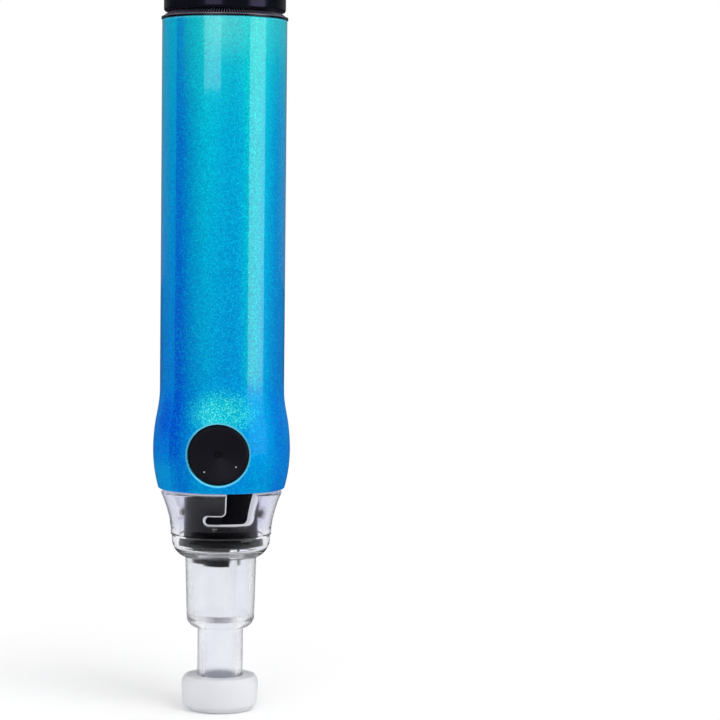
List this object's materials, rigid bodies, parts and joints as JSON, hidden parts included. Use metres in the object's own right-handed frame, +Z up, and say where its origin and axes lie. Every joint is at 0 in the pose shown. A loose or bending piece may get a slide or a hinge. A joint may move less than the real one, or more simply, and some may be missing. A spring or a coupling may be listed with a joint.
{
  "type": "lancing device",
  "caption": "Vacuum-assisted lancing device: a tubular barrel with a thumb plunger, a release button and a clear bayonet nozzle that carries a flat contact tip.",
  "frame": {"origin": "centre of the contact tip's skin face, on the device's axis", "axes": "+Z up the device's axis towards the thumb knob, -Y the side of the release button"},
  "size_m": [0.0288, 0.0282, 0.1606],
  "materials": {
    "barrel_paint": "pearlescent teal to blue metal-flake lacquer",
    "black_gloss": "gloss black",
    "black_satin": "satin black",
    "clear_plastic": "clear moulded plastic",
    "frosted_plastic": "frosted translucent plastic",
    "white_plastic": "natural white",
    "seal_rubber": "black elastomer",
    "spring_steel": "drawn wire"
  },
  "bodies": {
    "housing": {"barrel": "barrel_paint", "bezel_ring": "black_gloss", "guide_bush": "white_plastic", "vacuum_sleeve": "white_plastic", "nose_block": "black_satin", "nose_seal": "seal_rubber", "sleeve_plug": "white_plastic", "plug_seal": "seal_rubber", "sear_pin": "spring_steel", "button_springs": "spring_steel", "return_spring": "spring_steel", "drive_spring": "spring_steel", "vacuum_spring": "spring_steel"},
    "plunger": {"piston": "white_plastic", "piston_seal": "seal_rubber", "piston_screw": "spring_steel", "plunger_stem": "black_satin", "knob": "black_gloss"},
    "carriage": {"lancet_holder": "black_satin", "catch_collar": "white_plastic"},
    "button": {"button": "black_gloss", "button_seal": "seal_rubber"},
    "sear": {"sear": "white_plastic"},
    "nozzle": {"nozzle": "clear_plastic"},
    "tip": {"contact_tip": "frosted_plastic"}
  },
  "joints": [
    {"name": "plunger_slide", "type": "slide", "parent": "housing", "child": "plunger", "axis": [0, 0, 1], "range_m": [0, 0.018], "deforming": ["vacuum_spring"]},
    {"name": "carriage_slide", "type": "slide", "parent": "housing", "child": "carriage", "axis": [0, 0, 1], "range_m": [-0.004, 0.005], "stiffness_N_per_m": 200, "deforming": ["return_spring", "drive_spring"]},
    {"name": "button_press", "type": "slide", "parent": "housing", "child": "button", "axis": [0, 1, 0], "range_m": [0, 0.0012], "stiffness_N_per_m": 600},
    {"name": "sear_pivot", "type": "hinge", "parent": "housing", "child": "sear", "pos_m": [0, -0.0071, 0.06095], "axis": [1, 0, 0], "range_deg": [0, 11.5]},
    {"name": "nozzle_twist", "type": "hinge", "parent": "housing", "child": "nozzle", "pos_m": [0, 0, 0.0409], "axis": [0, 0, 1], "range_deg": [-28.2, 0]},
    {"name": "tip_pull", "type": "slide", "parent": "nozzle", "child": "tip", "axis": [0, 0, -1], "range_m": [0, 0.0055]}
  ],
  "couplings": [
    {"joint": "sear_pivot", "follows": "button_press", "rad_per_m": 164.5}
  ]
}
